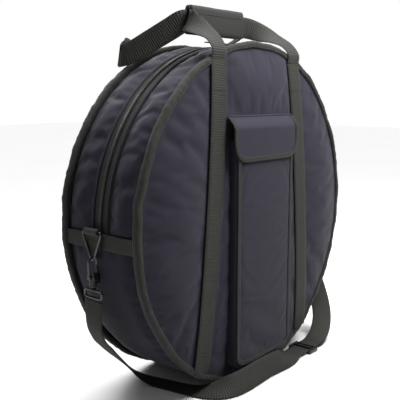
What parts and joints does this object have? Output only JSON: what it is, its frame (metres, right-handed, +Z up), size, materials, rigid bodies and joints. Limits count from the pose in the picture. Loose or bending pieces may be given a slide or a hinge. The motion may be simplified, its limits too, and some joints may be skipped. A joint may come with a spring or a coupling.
{
  "type": "padded cymbal bag with stick pocket",
  "caption": "Round padded zipped bag for cymbals that stands on its edge, with an outside drum-stick pocket, carrying handles and a clip-on shoulder strap.",
  "frame": {"origin": "on the floor, under the centre of the round body, on the flat that the side wall settles to", "axes": "+Z up, the front with the stick pocket faces -Y, +X to the right seen from the front"},
  "size_m": [0.624, 0.2441, 0.6493],
  "materials": {
    "nylon_cloth": "matt woven nylon, navy to charcoal",
    "lining_cloth": "matt woven lining",
    "foam": "matt closed-cell foam padding",
    "binding_tape": "ribbed woven tape",
    "zipper_tape": "woven tape",
    "zipper_teeth": "coil teeth, satin",
    "webbing": "ribbed polypropylene webbing",
    "grip_cloth": "padded cloth with hook-and-loop closing",
    "hook_and_loop": "hook-and-loop tape",
    "dark_metal": "black nickel, satin",
    "black_plastic": "moulded, satin"
  },
  "bodies": {
    "bag": {"back_binding": "binding_tape", "back_panel_foam": "foam", "back_panel_lining": "lining_cloth", "back_panel_shell": "nylon_cloth", "back_strip_left": "webbing", "back_strip_right": "webbing", "cross_band_left": "webbing", "cross_band_right": "webbing", "front_binding_lower": "binding_tape", "front_panel_lower_foam": "foam", "front_panel_lower_lining": "lining_cloth", "front_panel_lower_shell": "nylon_cloth", "front_strip_left_lower": "webbing", "front_strip_right_lower": "webbing", "gusset_lower_lining": "lining_cloth", "gusset_lower_shell": "nylon_cloth", "gusset_upper_back_lining": "lining_cloth", "gusset_upper_back_shell": "nylon_cloth", "ring_tab_left": "webbing", "ring_tab_right": "webbing", "stick_pocket_lower": "nylon_cloth", "strap_left_run": "webbing", "strap_return_run": "webbing", "strap_right_run": "webbing", "zipper_chain_back": "zipper_teeth", "zipper_tape_back": "zipper_tape"},
    "front_cover": {"front_panel_upper_shell": "nylon_cloth", "front_panel_upper_foam": "foam", "front_panel_upper_lining": "lining_cloth", "front_binding_upper": "binding_tape", "gusset_upper_front_shell": "nylon_cloth", "gusset_upper_front_lining": "lining_cloth", "zipper_tape_front": "zipper_tape", "zipper_chain_front": "zipper_teeth", "front_strip_left_upper": "webbing", "front_strip_right_upper": "webbing", "stick_pocket_upper": "nylon_cloth", "pocket_loop_tape": "hook_and_loop"},
    "flap": {"pocket_flap": "nylon_cloth", "pocket_flap_binding": "binding_tape", "flap_hook_tape": "hook_and_loop"},
    "front_grip": {"front_handle": "webbing", "grip_wrap_front": "grip_cloth"},
    "back_grip": {"back_handle": "webbing", "grip_wrap_back": "grip_cloth"},
    "adjuster": {"slide_adjuster": "black_plastic"},
    "slider_left": {"zip_slider_left": "dark_metal"},
    "pull_left": {"zip_pull_left": "dark_metal"},
    "ring_left": {"wire_ring_left": "dark_metal", "swivel_eye_left": "dark_metal"},
    "hook_left": {"snap_hook_left": "dark_metal"},
    "bolt_left": {"hook_bolt_left": "dark_metal"},
    "slider_right": {"zip_slider_right": "dark_metal"},
    "pull_right": {"zip_pull_right": "dark_metal"},
    "ring_right": {"wire_ring_right": "dark_metal", "swivel_eye_right": "dark_metal"},
    "hook_right": {"snap_hook_right": "dark_metal"},
    "bolt_right": {"hook_bolt_right": "dark_metal"}
  },
  "joints": [
    {"name": "front_opening", "type": "hinge", "parent": "bag", "child": "front_cover", "pos_m": [0, -0.111, 0.29], "axis": [1, 0, 0], "range_deg": [0, 32]},
    {"name": "flap_lift", "type": "hinge", "parent": "front_cover", "child": "flap", "pos_m": [0, -0.0895, 0.4655], "axis": [-1, 0, 0], "range_deg": [0, 100]},
    {"name": "front_handle_swing", "type": "hinge", "parent": "front_cover", "child": "front_grip", "pos_m": [0, -0.088, 0.5575], "axis": [1, 0, 0], "range_deg": [0, 95]},
    {"name": "back_handle_swing", "type": "hinge", "parent": "bag", "child": "back_grip", "pos_m": [0, 0.088, 0.5575], "axis": [-1, 0, 0], "range_deg": [0, 80]},
    {"name": "strap_adjust", "type": "slide", "parent": "bag", "child": "adjuster", "axis": [-1, 0, 0], "range_m": [0, 0.007]},
    {"name": "slider_left_run", "type": "hinge", "parent": "bag", "child": "slider_left", "pos_m": [0, 0, 0.29], "axis": [0, -1, 0], "range_deg": [0, 77]},
    {"name": "pull_left_lift", "type": "hinge", "parent": "slider_left", "child": "pull_left", "pos_m": [-0.008, 0, 0.59], "axis": [0, 1, 0], "range_deg": [0, 20]},
    {"name": "ring_left_swing", "type": "hinge", "parent": "bag", "child": "ring_left", "pos_m": [-0.302, 0.008, 0.294], "axis": [0, 1, 0], "range_deg": [0, 30]},
    {"name": "hook_left_swivel", "type": "hinge", "parent": "ring_left", "child": "hook_left", "pos_m": [-0.302, 0.008, 0.21], "axis": [0, 0, 1], "range_deg": [-12, 12]},
    {"name": "bolt_left_slide", "type": "slide", "parent": "hook_left", "child": "bolt_left", "axis": [0, 0, -1], "range_m": [0, 0.006], "stiffness_N_per_m": 60, "springref_m": -0.004},
    {"name": "slider_right_run", "type": "hinge", "parent": "bag", "child": "slider_right", "pos_m": [0, 0, 0.29], "axis": [0, 1, 0], "range_deg": [0, 77]},
    {"name": "pull_right_lift", "type": "hinge", "parent": "slider_right", "child": "pull_right", "pos_m": [0.008, 0, 0.59], "axis": [0, -1, 0], "range_deg": [0, 20]},
    {"name": "ring_right_swing", "type": "hinge", "parent": "bag", "child": "ring_right", "pos_m": [0.302, 0.008, 0.294], "axis": [0, -1, 0], "range_deg": [0, 30]},
    {"name": "hook_right_swivel", "type": "hinge", "parent": "ring_right", "child": "hook_right", "pos_m": [0.302, 0.008, 0.21], "axis": [0, 0, 1], "range_deg": [-12, 12]},
    {"name": "bolt_right_slide", "type": "slide", "parent": "hook_right", "child": "bolt_right", "axis": [0, 0, -1], "range_m": [0, 0.006], "stiffness_N_per_m": 60, "springref_m": -0.004}
  ]
}
